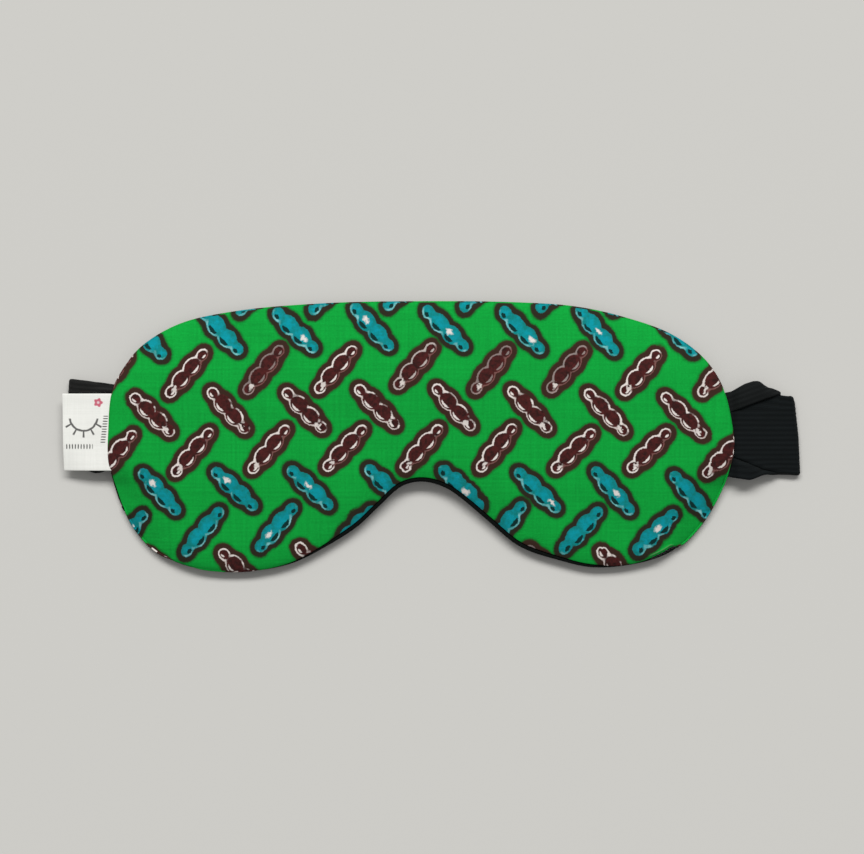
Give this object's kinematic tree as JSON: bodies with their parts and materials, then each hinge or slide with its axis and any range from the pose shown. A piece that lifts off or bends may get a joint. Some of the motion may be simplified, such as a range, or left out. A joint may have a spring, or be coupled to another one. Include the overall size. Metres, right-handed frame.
{
  "type": "sleep mask",
  "caption": "Padded fabric sleep mask with a nose cut-out, a printed front, a dark lining, a wide elastic head strap folded behind it and a small side label.",
  "frame": {"origin": "on the surface the mask lies on, on the flat underside of the strap's rear run under the middle of the pad", "axes": "+X along the pad, towards the strap end without the label; +Y towards the wearer's forehead, away from the nose cut-out; +Z out of the printed front"},
  "size_m": [0.2402, 0.0882, 0.0072],
  "materials": {
    "printed_cotton": "printed plain-weave cotton, matt",
    "wadding": "lofty polyester wadding",
    "lining_cotton": "black cotton, matt",
    "elastic": "ribbed woven elastic, black",
    "label_tape": "white cotton tape",
    "dark_thread": "black sewing thread"
  },
  "bodies": {
    "strap": {"strap_rear_run": "elastic"},
    "pad": {"front_cover": "printed_cotton", "wadding": "wadding", "back_lining": "lining_cotton", "seam_thread": "dark_thread", "closing_stitches": "dark_thread", "strap_left_end": "elastic", "strap_right_end": "elastic", "strap_tack_left": "dark_thread", "strap_tack_right": "dark_thread", "label_sewn_end": "label_tape"},
    "label": {"label": "label_tape"}
  },
  "joints": [
    {"name": "strap_stretch", "type": "slide", "parent": "strap", "child": "pad", "axis": [0, 0, 1], "range_m": [0, 0.12], "stiffness_N_per_m": 40, "deforming": ["strap_left_end", "strap_right_end"]},
    {"name": "label_flip", "type": "hinge", "parent": "pad", "child": "label", "pos_m": [-0.1018, 0.00155, 0.0042], "axis": [0, 1, 0], "range_deg": [0, 120]}
  ]
}
